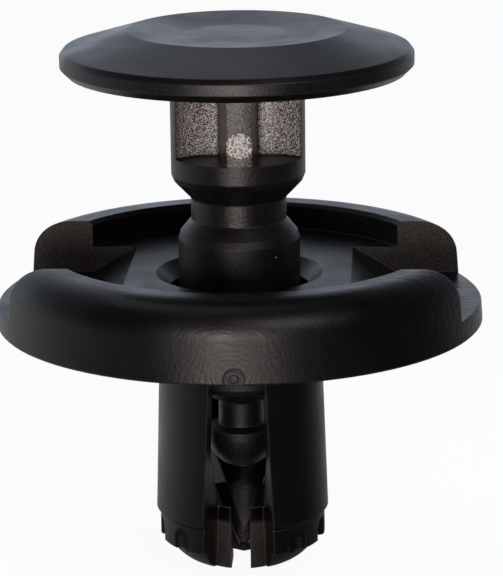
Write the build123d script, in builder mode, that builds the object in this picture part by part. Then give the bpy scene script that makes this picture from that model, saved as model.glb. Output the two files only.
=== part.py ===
# Plastic push rivet: a slotted body that goes through the panels, and a pin that spreads its legs.
# Millimetres. +Z up, along the pin. The origin is on the axis, in the face of the flange that meets the panel.
# The front, which has the gate mark, looks along -Y.

import os
from math import cos, radians, sin, sqrt, tan

from build123d import *

# flange and its two raised lips, whose outer wall leans inwards by its draft
flange_r = 10.0
rim_top_z = 0.87
floor_z = 1.96
lip_top_z = 3.08
lip_inner_r = 7.65
lip_draft = 4.0
lip_round = 1.4
lip_inner_chamfer = 0.15
lip_end_y = 4.05
rim_chamfer = 0.07

# pry ramps, which fall from the floor to the rim in the gaps between the lips
ramp_top_x = 4.6
ramp_foot_x = 6.45

# guide hole
countersink_r = 3.45
countersink_depth = 0.6
hole_r = 2.85

# barrel with three legs
sleeve_r = 3.4
sleeve_length = 1.5
flare_top_z = -2.05
leg_end_r = 3.6
leg_end_z = -8.3
leg_end_chamfer = 0.2
leg_count = 3

# slots between the legs, wider towards the toes and towards the outside
slot_top_half = 1.32
slot_growth = 0.044
slot_flare = 0.97
slot_outer_depth = 3.9
slot_inner_depth = 0.3

# toes, which close in a funnel under the pin's tip, round a split core
funnel_top_z = -5.35
funnel_floor_z = -10.15
funnel_half_angle = 25.0
core_r = 1.75
slit_width = 0.8
toe_r = 3.3
nose_round = 1.85
nose_z = -10.45

# raised pads and scoops round the toes
pad_r = 3.45
pad_end_z = -9.4
pad_chamfer = 0.07
scoop_r = 0.5
scoop_axis_r = 3.53
scoop_top_z = -8.4
scoop_offset = 16.0

# gate mark low on the front of the flange
gate_x = 0.3
gate_z = 0.26
gate_hollow_r = 0.42
gate_hollow_depth = 0.1
gate_nub_r = 0.17
gate_nub_length = 0.09

# pin: head
head_r = 7.18
head_under_z = 10.36
head_edge_z = 11.26
head_lower_chamfer = 0.3
dish_r = 4.45
dish_z = 12.07
dish_floor_r = 2.2
dish_floor_z = 11.85

# pin: shank with four pockets, which stands turned a little in its hole
pin_turn = 4.3
shank_r = 2.75
pocket_floor_z = 6.9
rib_half_width = 0.5
rib_root_half_width = 0.8
web_half_thickness = 0.33
pocket_wall_mid = (1.9, 0.52)
pocket_wall_end = (2.56, 1.0)
pocket_corner_round = 0.15
mark_r = 0.53
mark_z = 7.78
mark_flat_y = 2.69

# pin: collar, waist, barrel, neck and tip
collar_end_z = 5.98
waist_r = 1.96
waist_top_z = 5.15
waist_end_z = 4.25
barrel_r = 2.5
barrel_top_z = 3.6
barrel_end_z = -2.67
neck_r = 0.95
neck_top_z = -3.5
neck_end_z = -4.52
tip_r = 1.43
tip_shoulder_z = -4.67
tip_centre_z = -5.01
pin_edge_chamfer = 0.16

os.makedirs("parts", exist_ok=True)

funnel_slope = tan(radians(funnel_half_angle))
funnel_floor_r = hole_r - (funnel_top_z - funnel_floor_z) * funnel_slope
core_top_z = funnel_top_z - (hole_r - core_r) / funnel_slope
nose_flat_r = toe_r - nose_round
core_end_z = nose_z + nose_round - sqrt(nose_round**2 - (core_r - nose_flat_r) ** 2)
lip_wall = (-sin(radians(lip_draft)), cos(radians(lip_draft)))
lip_round_z = lip_top_z - lip_round * (1 - sin(radians(lip_draft)))
lip_outer_r = flange_r - (lip_round_z - rim_chamfer) * tan(radians(lip_draft))


def facing(angle):
    """Upright plane through the axis that looks outwards at an angle about it."""
    outwards = (cos(radians(angle)), sin(radians(angle)), 0)
    sideways = (-sin(radians(angle)), cos(radians(angle)), 0)
    return Plane(origin=(0, 0, 0), x_dir=sideways, z_dir=outwards)


slot_angles = [-90 + n * 360 / leg_count for n in range(leg_count)]
leg_angles = [angle + 180 / leg_count for angle in slot_angles]

with BuildPart() as body:
    # the flange, its lips, the hole and the closed barrel are turned from one half section
    with BuildSketch(Plane.XZ) as body_section:
        with BuildLine():
            Line((0, nose_z), (nose_flat_r, nose_z))
            JernArc((nose_flat_r, nose_z), (1, 0), nose_round, 90)
            Polyline(
                (toe_r, nose_z + nose_round),
                (toe_r, leg_end_z),
                (leg_end_r - leg_end_chamfer, leg_end_z),
                (leg_end_r, leg_end_z + leg_end_chamfer),
                (sleeve_r, flare_top_z),
                (sleeve_r, 0),
                (flange_r - rim_chamfer, 0),
                (flange_r, rim_chamfer),
                (lip_outer_r, lip_round_z),
            )
            lip_edge = JernArc((lip_outer_r, lip_round_z), lip_wall, lip_round, 90 - lip_draft)
            Polyline(
                lip_edge @ 1,
                (lip_inner_r + lip_inner_chamfer, lip_top_z),
                (lip_inner_r, lip_top_z - lip_inner_chamfer),
                (lip_inner_r, floor_z),
                (countersink_r, floor_z),
                (hole_r, floor_z - countersink_depth),
                (hole_r, funnel_top_z),
                (funnel_floor_r, funnel_floor_z),
                (0, funnel_floor_z),
                (0, nose_z),
            )
        make_face()
    revolve(axis=Axis.Z)

    # a ring of pads stands out round the toes, with a small chamfer under it
    with BuildSketch(Plane.XZ) as pad_section:
        with BuildLine():
            Polyline(
                (toe_r - 0.3, leg_end_z),
                (pad_r, leg_end_z),
                (pad_r, pad_end_z + pad_chamfer),
                (pad_r - pad_chamfer, pad_end_z),
                (toe_r - 0.3, pad_end_z),
                (toe_r - 0.3, leg_end_z),
            )
        make_face()
    revolve(axis=Axis.Z)

    # left and right, the lips are cut away and a ramp lets a tool in under the pin's head
    with BuildSketch(Plane.XZ) as pry_gap:
        with BuildLine():
            Polyline(
                (ramp_top_x, floor_z),
                (ramp_foot_x, rim_top_z),
                (flange_r + 1, rim_top_z),
                (flange_r + 1, lip_top_z + 1),
                (ramp_top_x, lip_top_z + 1),
                (ramp_top_x, floor_z),
            )
        make_face()
        mirror(about=Plane.YZ)
    extrude(amount=lip_end_y, both=True, mode=Mode.SUBTRACT)
    rim_edges = body.edges().filter_by(GeomType.CIRCLE)
    rim_edges = rim_edges.filter_by_position(Axis.Z, rim_top_z - 0.01, rim_top_z + 0.01)
    chamfer(rim_edges.filter_by(lambda edge: edge.radius > lip_outer_r), rim_chamfer)

    # three slots part the barrel into legs
    for angle in slot_angles:
        for depth, flare in ((slot_inner_depth, slot_flare), (slot_outer_depth, 0)):
            with BuildSketch(facing(angle).offset(depth)):
                top_half = slot_top_half - flare
                end_half = top_half + slot_growth * (-nose_z + 1 - sleeve_length)
                with BuildLine():
                    Polyline(
                        (-top_half, -sleeve_length),
                        (top_half, -sleeve_length),
                        (end_half, nose_z - 1),
                        (-end_half, nose_z - 1),
                        (-top_half, -sleeve_length),
                    )
                make_face()
        loft(ruled=True, mode=Mode.SUBTRACT)

    # the toes' inner ends make a split core, which the tip pushes apart
    with BuildSketch(Plane.XZ) as core_section:
        with BuildLine():
            Polyline(
                (0, nose_z),
                (nose_flat_r, nose_z),
                (core_r, core_end_z),
                (core_r, core_top_z),
                (funnel_floor_r, funnel_floor_z),
                (0, funnel_floor_z),
                (0, nose_z),
            )
        make_face()
    revolve(axis=Axis.Z)
    with BuildSketch(Plane.XY.offset(nose_z - 1)) as slits:
        for angle in slot_angles:
            with Locations(Rotation(0, 0, angle)):
                Rectangle(slot_outer_depth, slit_width, align=(Align.MIN, Align.CENTER))
    extrude(amount=funnel_top_z - nose_z + 1, mode=Mode.SUBTRACT)

    # a scoop on each side of every leg's middle pad
    for angle in leg_angles:
        for side in (-1, 1):
            turn = radians(angle + side * scoop_offset)
            spot = (scoop_axis_r * cos(turn), scoop_axis_r * sin(turn), scoop_top_z - scoop_r)
            with Locations(spot):
                Sphere(scoop_r, mode=Mode.SUBTRACT)
                Cylinder(
                    scoop_r,
                    scoop_top_z - nose_z,
                    align=(Align.CENTER, Align.CENTER, Align.MAX),
                    mode=Mode.SUBTRACT,
                )

    # the gate left a small round hollow with a nub in it
    with BuildSketch(Plane.XZ.offset(flange_r - gate_hollow_depth)) as gate_hollow:
        with Locations((gate_x, gate_z)):
            Circle(gate_hollow_r)
    extrude(amount=1, mode=Mode.SUBTRACT)
    with BuildSketch(Plane.XZ.offset(flange_r - gate_hollow_depth - 0.1)) as gate_nub:
        with Locations((gate_x, gate_z)):
            Circle(gate_nub_r)
    extrude(amount=gate_nub_length + 0.1)

with BuildPart() as pin:
    # the whole pin is turned from one half section
    with BuildSketch(Plane.XZ) as pin_section:
        with BuildLine():
            RadiusArc((0, tip_centre_z - tip_r), (tip_r, tip_centre_z), -tip_r)
            Polyline(
                (tip_r, tip_centre_z),
                (tip_r, tip_shoulder_z),
                (neck_r, neck_end_z),
                (neck_r, neck_top_z),
                (barrel_r, barrel_end_z),
                (barrel_r, barrel_top_z),
                (waist_r, waist_end_z),
                (waist_r, waist_top_z),
                (shank_r, collar_end_z),
                (shank_r, head_under_z),
                (head_r - head_lower_chamfer, head_under_z),
                (head_r, head_under_z + head_lower_chamfer),
                (head_r, head_edge_z),
                (dish_r, dish_z),
                (dish_floor_r, dish_floor_z),
                (0, dish_floor_z),
                (0, tip_centre_z - tip_r),
            )
        make_face()
    revolve(axis=Axis.Z)

    # the rings where the moulded faces meet are eased
    for height in (barrel_end_z, barrel_top_z, collar_end_z, head_edge_z):
        rings = pin.edges().filter_by(GeomType.CIRCLE)
        chamfer(rings.filter_by_position(Axis.Z, height - 0.01, height + 0.01), pin_edge_chamfer)

    # four pockets thin the shank to a web with a rib in front and behind
    with BuildSketch(Plane.XY.offset(pocket_floor_z).rotated((0, 0, pin_turn))) as pockets:
        with BuildLine():
            Polyline(
                pocket_wall_end,
                (shank_r + 0.5, pocket_wall_end[1] + 0.15),
                (shank_r + 0.5, shank_r + 0.5),
                (rib_half_width - 0.06, shank_r + 0.5),
                (rib_root_half_width, web_half_thickness),
            )
            ThreePointArc((rib_root_half_width, web_half_thickness), pocket_wall_mid, pocket_wall_end)
        make_face()
        fillet(pockets.vertices().sort_by_distance((rib_root_half_width, web_half_thickness))[0], pocket_corner_round)
        mirror(about=Plane.YZ)
        mirror(about=Plane.XZ)
    extrude(amount=head_under_z - pocket_floor_z, mode=Mode.SUBTRACT)

    # an ejector left a flat round mark on the front rib
    with BuildSketch(facing(-90 + pin_turn).offset(mark_flat_y)) as ejector_mark:
        with Locations((0, mark_z)):
            Circle(mark_r)
    extrude(amount=1, mode=Mode.SUBTRACT)

body.part.label = "body"
export_step(body.part, "parts/body.step")
pin.part.label = "pin"
export_step(pin.part, "parts/pin.step")
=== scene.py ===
from math import cos, pi, radians, sin

import bmesh
import bpy
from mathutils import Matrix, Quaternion, Vector


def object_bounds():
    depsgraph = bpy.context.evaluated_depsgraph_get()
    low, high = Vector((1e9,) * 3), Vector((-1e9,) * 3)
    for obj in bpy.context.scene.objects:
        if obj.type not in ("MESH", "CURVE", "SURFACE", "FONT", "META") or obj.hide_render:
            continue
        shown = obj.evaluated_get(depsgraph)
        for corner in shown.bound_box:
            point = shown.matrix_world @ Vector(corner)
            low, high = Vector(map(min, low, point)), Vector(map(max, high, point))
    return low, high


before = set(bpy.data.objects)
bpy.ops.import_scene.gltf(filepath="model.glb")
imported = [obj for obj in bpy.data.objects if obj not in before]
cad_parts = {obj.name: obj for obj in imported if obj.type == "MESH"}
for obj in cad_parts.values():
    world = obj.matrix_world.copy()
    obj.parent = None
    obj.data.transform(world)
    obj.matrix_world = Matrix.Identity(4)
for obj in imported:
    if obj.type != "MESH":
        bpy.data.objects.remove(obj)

cad_low, cad_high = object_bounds()

# Camera: a long lens a little above the flange and a touch to its right, as the photograph was taken.
# The rivet's axis stands a little left of the middle of the frame, and leans very slightly.
MM = 0.001
frame_width, frame_height = 503, 576
axis_column, origin_row = 239.85, 316.45
pixels_per_mm = 24.15
lens_distance = 120 * MM
lens_height = radians(15.45)
lens_side = radians(3.3)
lens_lean = radians(0.7)
camera_data = bpy.data.cameras.new("camera")
camera_data.sensor_width = 36
camera_data.lens = lens_distance / MM * pixels_per_mm * camera_data.sensor_width / frame_height
camera_data.clip_start = 0.005
camera_data.clip_end = 20
camera = bpy.data.objects.new("camera", camera_data)
bpy.context.collection.objects.link(camera)
to_camera = Vector((sin(lens_side) * cos(lens_height), -cos(lens_side) * cos(lens_height), sin(lens_height)))
look = (-to_camera).to_track_quat("-Z", "Y")
sideways = look @ Vector((1, 0, 0)) * ((frame_width / 2 - axis_column) / pixels_per_mm * MM)
upwards = look @ Vector((0, 1, 0)) * ((origin_row - frame_height / 2) / pixels_per_mm * MM)
camera.location = to_camera * lens_distance
level = (sideways + upwards - camera.location).to_track_quat("-Z", "Y")
camera.rotation_euler = (level @ Quaternion((0, 0, 1), -lens_lean)).to_euler()
bpy.context.scene.camera = camera
bpy.context.scene.view_settings.view_transform = "Standard"

# Floor: a plain pale sheet that the toes stand on, with the soft shadow of the rivet.
# The camera sees it white, the gloss sees it pale behind the rivet and dim in front, as the room is,
# and from below it is clear, so that the underside shows.
floor_mesh = bpy.data.meshes.new("floor")
sheet = bmesh.new()
bmesh.ops.create_grid(sheet, x_segments=1, y_segments=1, size=3.0)
bmesh.ops.translate(sheet, verts=sheet.verts, vec=(0, 0, cad_low.z - 0.01 * MM))
sheet.to_mesh(floor_mesh)
sheet.free()
floor = bpy.data.objects.new("floor", floor_mesh)
bpy.context.collection.objects.link(floor)
floor_white = bpy.data.materials.new("floor_white")
floor_white.use_nodes = True
nodes, links = floor_white.node_tree.nodes, floor_white.node_tree.links
nodes.clear()
out = nodes.new("ShaderNodeOutputMaterial")
paint = nodes.new("ShaderNodeBsdfDiffuse")
paint.inputs["Color"].default_value = (0.22, 0.22, 0.22, 1)
glow = nodes.new("ShaderNodeEmission")
painted_glow = nodes.new("ShaderNodeAddShader")
rays = nodes.new("ShaderNodeLightPath")
spot = nodes.new("ShaderNodeTexCoord")
heading = nodes.new("ShaderNodeVectorMath")
heading.operation = "NORMALIZE"
to_the_back = nodes.new("ShaderNodeVectorMath")
to_the_back.operation = "DOT_PRODUCT"
to_the_back.inputs[1].default_value = (-0.55, 0.83, 0)
back_glow = nodes.new("ShaderNodeMapRange")
back_glow.interpolation_type = "SMOOTHSTEP"
back_glow.inputs["From Min"].default_value = -0.6
back_glow.inputs["From Max"].default_value = 0.9
back_glow.inputs["To Max"].default_value = 0.46
for_gloss = nodes.new("ShaderNodeMath")
for_gloss.operation = "MULTIPLY"
for_all = nodes.new("ShaderNodeMath")
for_all.operation = "MULTIPLY_ADD"
for_all.inputs[1].default_value = 0.92
facing = nodes.new("ShaderNodeNewGeometry")
clear = nodes.new("ShaderNodeBsdfTransparent")
clear_below = nodes.new("ShaderNodeMixShader")
links.new(spot.outputs["Object"], heading.inputs[0])
links.new(heading.outputs["Vector"], to_the_back.inputs[0])
links.new(to_the_back.outputs["Value"], back_glow.inputs["Value"])
links.new(back_glow.outputs["Result"], for_gloss.inputs[0])
links.new(rays.outputs["Is Glossy Ray"], for_gloss.inputs[1])
links.new(rays.outputs["Is Camera Ray"], for_all.inputs[0])
links.new(for_gloss.outputs[0], for_all.inputs[2])
links.new(for_all.outputs[0], glow.inputs["Strength"])
links.new(paint.outputs[0], painted_glow.inputs[0])
links.new(glow.outputs[0], painted_glow.inputs[1])
links.new(facing.outputs["Backfacing"], clear_below.inputs["Fac"])
links.new(painted_glow.outputs[0], clear_below.inputs[1])
links.new(clear.outputs[0], clear_below.inputs[2])
links.new(clear_below.outputs[0], out.inputs["Surface"])
floor_mesh.materials.append(floor_white)

# Studio light: a white room, cool and bright low behind the rivet and dim elsewhere, a little brighter
# on the left. A warm box stands low in front of the rivet, a second one hangs to the right in front of
# it, and two pale ones hang over it and high behind it.
world = bpy.data.worlds.new("studio")
bpy.context.scene.world = world
world.use_nodes = True
nodes, links = world.node_tree.nodes, world.node_tree.links
nodes.clear()
out = nodes.new("ShaderNodeOutputWorld")
seen = nodes.new("ShaderNodeBackground")
seen.inputs["Color"].default_value = (1, 1, 1, 1)
room = nodes.new("ShaderNodeBackground")
pick = nodes.new("ShaderNodeMixShader")
rays = nodes.new("ShaderNodeLightPath")
way = nodes.new("ShaderNodeTexCoord")
to_the_back = nodes.new("ShaderNodeVectorMath")
to_the_back.operation = "DOT_PRODUCT"
to_the_back.inputs[1].default_value = (-0.30, 0.78, -0.55)
spread = nodes.new("ShaderNodeMapRange")
spread.inputs["From Min"].default_value = -0.7
spread.inputs["From Max"].default_value = 0.8
walls = nodes.new("ShaderNodeValToRGB")
walls.color_ramp.elements[0].position = 0.20
walls.color_ramp.elements[0].color = (0.040, 0.038, 0.037, 1)
walls.color_ramp.elements[1].position = 0.92
walls.color_ramp.elements[1].color = (0.66, 0.74, 0.85, 1)
middle = walls.color_ramp.elements.new(0.62)
middle.color = (0.15, 0.16, 0.19, 1)
links.new(way.outputs["Generated"], to_the_back.inputs[0])
links.new(to_the_back.outputs["Value"], spread.inputs["Value"])
links.new(spread.outputs["Result"], walls.inputs["Fac"])
links.new(walls.outputs["Color"], room.inputs["Color"])
links.new(rays.outputs["Is Camera Ray"], pick.inputs["Fac"])
links.new(room.outputs[0], pick.inputs[1])
links.new(seen.outputs[0], pick.inputs[2])
links.new(pick.outputs[0], out.inputs["Surface"])


def soft_box(name, place, target, width, height, power, colour):
    """A rectangular soft box at a place, facing a target."""
    data = bpy.data.lights.new(name, "AREA")
    data.shape = "RECTANGLE"
    data.size = width
    data.size_y = height
    data.energy = power
    data.color = colour
    box = bpy.data.objects.new(name, data)
    box.location = place
    box.rotation_euler = (Vector(target) - Vector(place)).to_track_quat("-Z", "Y").to_euler()
    box.visible_camera = False
    bpy.context.collection.objects.link(box)


soft_box("front_box", (-0.003, -0.080, 0.004), (0, 0, 0.003), 0.026, 0.024, 0.025, (1.0, 0.90, 0.86))
soft_box("right_box", (0.05, -0.10, 0.09), (0, 0, 0.002), 0.060, 0.050, 0.026, (1.0, 0.94, 0.92))
soft_box("top_box", (-0.05, 0.05, 0.28), (0, 0, 0), 0.20, 0.20, 0.050, (1.0, 1.0, 1.0))
soft_box("high_box", (-0.05, 0.20, 0.23), (0, 0, 0), 0.16, 0.12, 0.020, (0.92, 0.96, 1.0))


# Body: the flange with its lips and the three slotted legs, moulded in one piece of black nylon.
# The lips are satin, with a leathery peel to the right and ripples of the flow round the gate mark.
# The ends of the lips are grained, and the funnel between the toes is smooth. Painted light: the ends of the
# lips and of the front toes are painted pale warm brown in grains where the light falls on them.
def noise_of(finish, name, size, detail):
    """A noise with features of a size, in the piece's own coordinates."""
    noise = finish.nodes.new("ShaderNodeTexNoise")
    noise.name = name
    noise.inputs["Scale"].default_value = 1 / size
    noise.inputs["Detail"].default_value = detail
    finish.links.new(finish.nodes["place"].outputs["Object"], noise.inputs["Vector"])
    return noise.outputs["Fac"]


def ramped(finish, name, value, low, high, at_low, at_high):
    """A value's run from low to high, turned into a run from at_low to at_high."""
    run = finish.nodes.new("ShaderNodeMapRange")
    run.name = name
    run.inputs["From Min"].default_value = low
    run.inputs["From Max"].default_value = high
    run.inputs["To Min"].default_value = at_low
    run.inputs["To Max"].default_value = at_high
    finish.links.new(value, run.inputs["Value"])
    return run.outputs["Result"]


def worked_out(finish, operation, *values):
    """Values and numbers, put together by an operation."""
    node = finish.nodes.new("ShaderNodeMath")
    node.operation = operation
    for socket, value in zip(node.inputs, values):
        if isinstance(value, (int, float)):
            socket.default_value = value
        else:
            finish.links.new(value, socket)
    return node.outputs[0]


def product(finish, *values):
    """Two or more values, or values and numbers, multiplied."""
    result = values[0]
    for value in values[1:]:
        result = worked_out(finish, "MULTIPLY", result, value)
    return result


def parts_of(finish, vector):
    """The three parts of a vector."""
    parts = finish.nodes.new("ShaderNodeSeparateXYZ")
    finish.links.new(vector, parts.inputs[0])
    return parts.outputs


def distance_from(finish, centre):
    """The distance from a point of the piece."""
    distance = finish.nodes.new("ShaderNodeVectorMath")
    distance.operation = "DISTANCE"
    distance.inputs[1].default_value = centre
    finish.links.new(finish.nodes["place"].outputs["Object"], distance.inputs[0])
    return distance.outputs["Value"]


def distance_from_axis(finish):
    """The distance from the rivet's axis."""
    here = parts_of(finish, finish.nodes["place"].outputs["Object"])
    across = finish.nodes.new("ShaderNodeCombineXYZ")
    finish.links.new(here["X"], across.inputs["X"])
    finish.links.new(here["Y"], across.inputs["Y"])
    radius = finish.nodes.new("ShaderNodeVectorMath")
    radius.operation = "LENGTH"
    finish.links.new(across.outputs[0], radius.inputs[0])
    return radius.outputs["Value"]


def bumped(finish, name, height, depth, normal):
    """A bump of a depth in metres on top of a normal."""
    bump = finish.nodes.new("ShaderNodeBump")
    bump.name = name
    bump.inputs["Strength"].default_value = 1
    finish.links.new(height, bump.inputs["Height"])
    finish.links.new(depth, bump.inputs["Distance"])
    finish.links.new(normal, bump.inputs["Normal"])
    return bump.outputs["Normal"]


def blended(finish, name, share, first, second):
    """A colour, or a colour socket, mixed with a second colour by a share."""
    mix = finish.nodes.new("ShaderNodeMixRGB")
    mix.name = name
    finish.links.new(share, mix.inputs["Fac"])
    mix.inputs["Color2"].default_value = (*second, 1)
    if isinstance(first, tuple):
        mix.inputs["Color1"].default_value = (*first, 1)
    else:
        finish.links.new(first, mix.inputs["Color1"])
    return mix.outputs["Color"]


def black_nylon(name, node, colour, roughness):
    """Black moulded nylon on a node, with eased edges painted paler, partly rubbed and partly a painted
    highlight, patchy gloss and a few specks of dust.
    """
    material = bpy.data.materials.new(name)
    material.use_nodes = True
    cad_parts[node].material_slots[0].material = material
    finish = material.node_tree
    place = finish.nodes.new("ShaderNodeTexCoord")
    place.name = "place"
    eased = finish.nodes.new("ShaderNodeBevel")
    eased.name = "eased"
    eased.samples = 6
    eased.inputs["Radius"].default_value = 0.09 * MM
    shape = finish.nodes.new("ShaderNodeNewGeometry")
    shape.name = "shape"
    # Painted highlight: the eased edges are painted paler, partly rubbed bare and partly a highlight painted
    # along them.
    edge_turn = finish.nodes.new("ShaderNodeVectorMath")
    edge_turn.operation = "DOT_PRODUCT"
    finish.links.new(eased.outputs["Normal"], edge_turn.inputs[0])
    finish.links.new(shape.outputs["Normal"], edge_turn.inputs[1])
    edge_wear_and_highlight = ramped(finish, "edge_wear_and_highlight", edge_turn.outputs["Value"], 0.90, 0.99, 0.55, 0)
    patches = noise_of(finish, "patches", 2.2 * MM, 6)
    ramped(finish, "gloss", patches, 0.3, 0.7, roughness - 0.07, roughness + 0.09)
    cells = finish.nodes.new("ShaderNodeTexVoronoi")
    cells.inputs["Scale"].default_value = 1 / (1.5 * MM)
    finish.links.new(place.outputs["Object"], cells.inputs["Vector"])
    speck = ramped(finish, "speck", cells.outputs["Distance"], 0.022, 0.034, 1, 0)
    some = worked_out(finish, "LESS_THAN", parts_of(finish, cells.outputs["Color"])["X"], 0.10)
    edged = blended(finish, "edge_wear_and_highlight_mix", edge_wear_and_highlight, colour, (0.055, 0.056, 0.060))
    blended(finish, "colour", product(finish, speck, some), edged, (0.55, 0.54, 0.50))
    return finish


body = black_nylon("body_nylon", "body", (0.0020, 0.0017, 0.0018), 0.31)
point = parts_of(body, body.nodes["place"].outputs["Object"])
flat_way = parts_of(body, body.nodes["shape"].outputs["True Normal"])

# The lips' ends lie in two planes beside the pry gaps.
lip_end_y = 4.05 * MM
near_end = worked_out(body, "COMPARE", worked_out(body, "ABSOLUTE", point["Y"]), lip_end_y, 0.06 * MM)
end_on = worked_out(body, "GREATER_THAN", worked_out(body, "ABSOLUTE", flat_way["Y"]), 0.95)
lip_ends = product(body, near_end, end_on)

# The front toes' ends stand on both sides of the slit, below the funnel. Their front faces get the painted
# light, darker towards the bottom.
near_slit = ramped(body, "near_slit", worked_out(body, "ABSOLUTE", point["X"]), 0.95 * MM, 1.15 * MM, 0.7, 0)
painted_shade_lower_down = ramped(body, "painted_shade_lower_down", point["Z"], -9.6 * MM, -8.2 * MM, 0.6, 1)
toe_top = ramped(body, "toe_top", point["Z"], -8.5 * MM, -8.3 * MM, 1, 0)
in_front = worked_out(body, "LESS_THAN", point["Y"], -1 * MM)
toe_ends = product(body, near_slit, product(body, painted_shade_lower_down, toe_top), in_front)

# The funnel is what lies inside the legs, above the toes' closed ends.
inside = ramped(body, "inside", distance_from_axis(body), 2.80 * MM, 2.95 * MM, 1, 0)
above_toes = ramped(body, "above_toes", point["Z"], -8.1 * MM, -7.7 * MM, 0, 1)
funnel = product(body, inside, above_toes)

# Peel, grain and ripples, each on top of the one before.
peel = noise_of(body, "peel", 0.30 * MM, 2)
peel_depth = ramped(body, "peel_depth", point["X"], 2.5 * MM, 7.0 * MM, 0.006 * MM, 0.023 * MM)
normal = bumped(body, "peel_bump", peel, peel_depth, body.nodes["eased"].outputs["Normal"])
grain = noise_of(body, "grain", 0.06 * MM, 2)
grain_depth = ramped(body, "grain_depth", lip_ends, 0, 1, 0.007 * MM, 0.030 * MM)
normal = bumped(body, "grain_bump", grain, grain_depth, normal)
ripple_spacing = 0.24 * MM
from_gate = distance_from(body, (0.3 * MM, -10.0 * MM, 0.26 * MM))
wander = product(body, noise_of(body, "wander", 1.6 * MM, 2), 1.4 * MM)
wandered = worked_out(body, "ADD", from_gate, wander)
ripples = worked_out(body, "SINE", product(body, wandered, 2 * pi / ripple_spacing))
ripple_depth = ramped(body, "ripple_depth", from_gate, 0.5 * MM, 4.2 * MM, 0.0012 * MM, 0)
normal = bumped(body, "ripples", ripples, ripple_depth, normal)

# The ends are duller than the rest, the funnel is glossier, and a haze lies round the gate.
haze = ramped(body, "haze", from_gate, 1.5 * MM, 6.0 * MM, 0.10, 0)
roughness = worked_out(body, "ADD", body.nodes["gloss"].outputs["Result"], product(body, lip_ends, 0.22))
roughness = worked_out(body, "SUBTRACT", roughness, product(body, funnel, 0.12))
roughness = worked_out(body, "ADD", roughness, haze)
# Painted light: the lips' ends and the front toes' ends are painted pale warm brown in grains, standing in
# for the warm light that falls on them.
painted_light_on_ends = worked_out(body, "MAXIMUM", lip_ends, toe_ends)
painted_light_grains = ramped(body, "painted_light_grains", grain, 0.35, 0.65, 0.25, 0.75)
colour = blended(body, "painted_light_on_ends_mix", product(body, painted_light_on_ends, painted_light_grains),
                 body.nodes["colour"].outputs["Color"], (0.17, 0.142, 0.132))
shader = body.nodes["Principled BSDF"]
body.links.new(normal, shader.inputs["Normal"])
body.links.new(roughness, shader.inputs["Roughness"])
body.links.new(colour, shader.inputs["Base Color"])

# Pin: the dished head, the pocketed shank, the collar, barrel and tip, moulded in one piece.
# The shank keeps the coarse spark-eroded grain of the mould, with painted glints on its grains, most in the
# pockets, and the head is smoother. The flat left by the ejector on the front rib is pitted, with pale
# painted glints on its pits.
pin = black_nylon("pin_nylon", "pin", (0.0022, 0.0018, 0.0018), 0.31)
point = parts_of(pin, pin.nodes["place"].outputs["Object"])
flat_way = parts_of(pin, pin.nodes["shape"].outputs["True Normal"])

# The ejector's mark is round, and the shank ends in the skirt of the head.
from_mark = distance_from(pin, (0.20 * MM, -2.68 * MM, 7.78 * MM))
mark = ramped(pin, "mark", from_mark, 0.53 * MM, 0.56 * MM, 1, 0)
shank = ramped(pin, "shank", point["Z"], 11.05 * MM, 11.35 * MM, 1, 0.1)

# The pockets lie between their floor and the head, inside the shank's round, and face front or back; the
# painted glints are strongest there.
over_floor = ramped(pin, "over_floor", point["Z"], 6.92 * MM, 6.99 * MM, 0, 1)
under_head = ramped(pin, "under_head", point["Z"], 10.2 * MM, 10.4 * MM, 1, 0)
sunken = ramped(pin, "sunken", distance_from_axis(pin), 2.62 * MM, 2.72 * MM, 1, 0.35)
frontal = ramped(pin, "frontal", worked_out(pin, "ABSOLUTE", flat_way["Y"]), 0.55, 0.80, 0.15, 1)
pockets = product(pin, product(pin, over_floor, under_head), product(pin, sunken, frontal))

# Pits in the mark and grain on the shank.
pits = noise_of(pin, "pits", 0.10 * MM, 3)
pit_depth = ramped(pin, "pit_depth", mark, 0, 1, 0.002 * MM, 0.022 * MM)
normal = bumped(pin, "pit_bump", pits, pit_depth, pin.nodes["eased"].outputs["Normal"])
grain = noise_of(pin, "grain", 0.052 * MM, 3)
normal = bumped(pin, "grain_bump", grain, product(pin, shank, 0.013 * MM), normal)

# The mark is glossier and the barrel is duller. Painted highlight: the grains of the shank, most in the
# pockets, and the pits of the mark are painted pale as glints.
roughness = worked_out(pin, "SUBTRACT", pin.nodes["gloss"].outputs["Result"], product(pin, mark, 0.14))
dull_barrel = ramped(pin, "dull_barrel", point["Z"], 3.9 * MM, 4.2 * MM, 0.10, 0)
roughness = worked_out(pin, "ADD", roughness, dull_barrel)
painted_light_grains = ramped(pin, "painted_light_grains", grain, 0.44, 0.61, 0, 1)
painted_glint_share = worked_out(pin, "ADD", product(pin, pockets, 0.98), 0.018)
colour = blended(pin, "painted_glints_mix", product(pin, product(pin, shank, painted_light_grains), painted_glint_share),
                 pin.nodes["colour"].outputs["Color"], (0.86, 0.80, 0.78))
# Painted highlight: pale flecks on the pits of the ejector's mark stand in for its sparkle.
mark_painted_glints = ramped(pin, "mark_painted_glints", pits, 0.44, 0.54, 0.06, 1)
colour = blended(pin, "painted_mark_glints_mix", product(pin, mark, mark_painted_glints), colour, (0.95, 0.92, 0.86))
shader = pin.nodes["Principled BSDF"]
pin.links.new(normal, shader.inputs["Normal"])
pin.links.new(roughness, shader.inputs["Roughness"])
pin.links.new(colour, shader.inputs["Base Color"])
